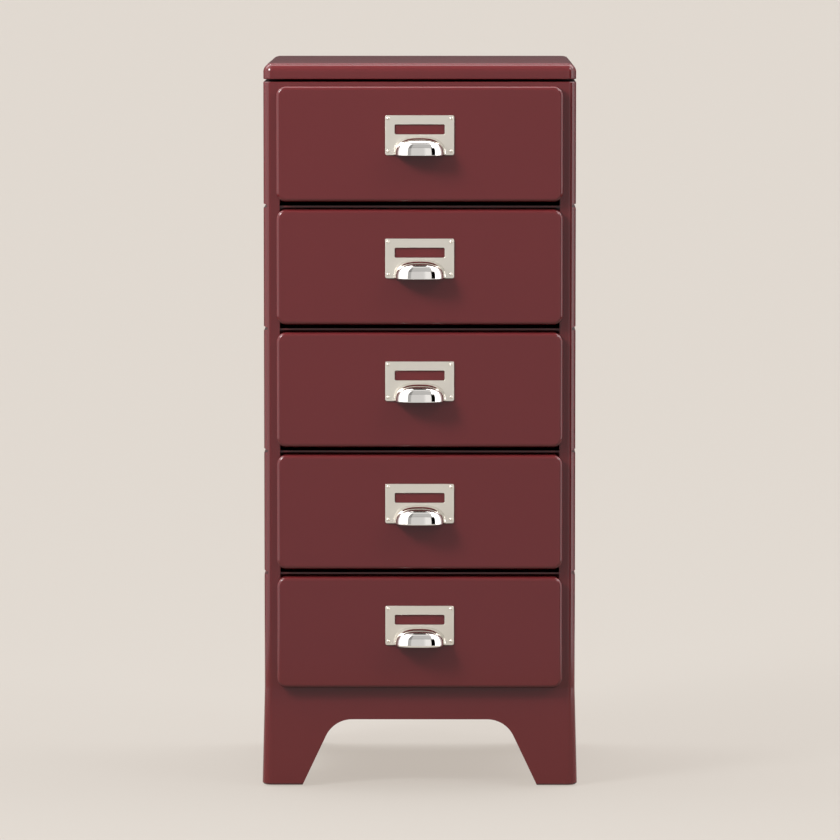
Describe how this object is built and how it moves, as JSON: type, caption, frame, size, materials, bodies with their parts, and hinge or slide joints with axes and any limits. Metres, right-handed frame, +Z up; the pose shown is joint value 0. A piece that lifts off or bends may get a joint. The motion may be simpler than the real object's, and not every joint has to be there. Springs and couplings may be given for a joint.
{
  "type": "drawer cabinet",
  "caption": "Narrow sheet-steel cabinet on a flared skirt base, with a stack of sliding drawers, each with a cup pull and label frame",
  "frame": {"origin": "on the floor, under the middle of the overall box, pulls included", "axes": "+X to the right seen from the front, +Y to the back, +Z up"},
  "size_m": [0.377, 0.3958, 0.864],
  "materials": {
    "enamel": "dark red-brown satin-gloss enamel",
    "box_enamel": "dark red-brown enamel, thinner coat",
    "nickel": "nickel plate, satin on the frame and polished on the cup",
    "zinc": "zinc plate",
    "white_nylon": "natural nylon",
    "black_nylon": "black nylon"
  },
  "bodies": {
    "carcass": {"top_cap": "enamel", "top_panel": "enamel", "side_panel_left": "enamel", "side_panel_right": "enamel", "back_panel": "enamel", "bottom_panel": "enamel", "rail_top": "enamel", "rail_1_2": "enamel", "rail_2_3": "enamel", "rail_3_4": "enamel", "rail_4_5": "enamel", "rail_bottom": "enamel", "base_front": "enamel", "base_rear": "enamel", "foot_glides": "black_nylon", "runner_left_1": "zinc", "runner_right_1": "zinc", "runner_left_2": "zinc", "runner_right_2": "zinc", "runner_left_3": "zinc", "runner_right_3": "zinc", "runner_left_4": "zinc", "runner_right_4": "zinc", "runner_left_5": "zinc", "runner_right_5": "zinc", "runner_pads": "white_nylon"},
    "drawer_1": {"drawer_front_1": "enamel", "drawer_box_1": "box_enamel", "drawer_slides_1": "zinc", "drawer_shoes_1": "white_nylon", "pull_1": "nickel"},
    "drawer_2": {"drawer_front_2": "enamel", "drawer_box_2": "box_enamel", "drawer_slides_2": "zinc", "drawer_shoes_2": "white_nylon", "pull_2": "nickel"},
    "drawer_3": {"drawer_front_3": "enamel", "drawer_box_3": "box_enamel", "drawer_slides_3": "zinc", "drawer_shoes_3": "white_nylon", "pull_3": "nickel"},
    "drawer_4": {"drawer_front_4": "enamel", "drawer_box_4": "box_enamel", "drawer_slides_4": "zinc", "drawer_shoes_4": "white_nylon", "pull_4": "nickel"},
    "drawer_5": {"drawer_front_5": "enamel", "drawer_box_5": "box_enamel", "drawer_slides_5": "zinc", "drawer_shoes_5": "white_nylon", "pull_5": "nickel"}
  },
  "joints": [
    {"name": "drawer_1_slide", "type": "slide", "parent": "carcass", "child": "drawer_1", "axis": [0, -1, 0], "range_m": [0, 0.2583]},
    {"name": "drawer_2_slide", "type": "slide", "parent": "carcass", "child": "drawer_2", "axis": [0, -1, 0], "range_m": [0, 0.2583]},
    {"name": "drawer_3_slide", "type": "slide", "parent": "carcass", "child": "drawer_3", "axis": [0, -1, 0], "range_m": [0, 0.2583]},
    {"name": "drawer_4_slide", "type": "slide", "parent": "carcass", "child": "drawer_4", "axis": [0, -1, 0], "range_m": [0, 0.2583]},
    {"name": "drawer_5_slide", "type": "slide", "parent": "carcass", "child": "drawer_5", "axis": [0, -1, 0], "range_m": [0, 0.2583]}
  ]
}
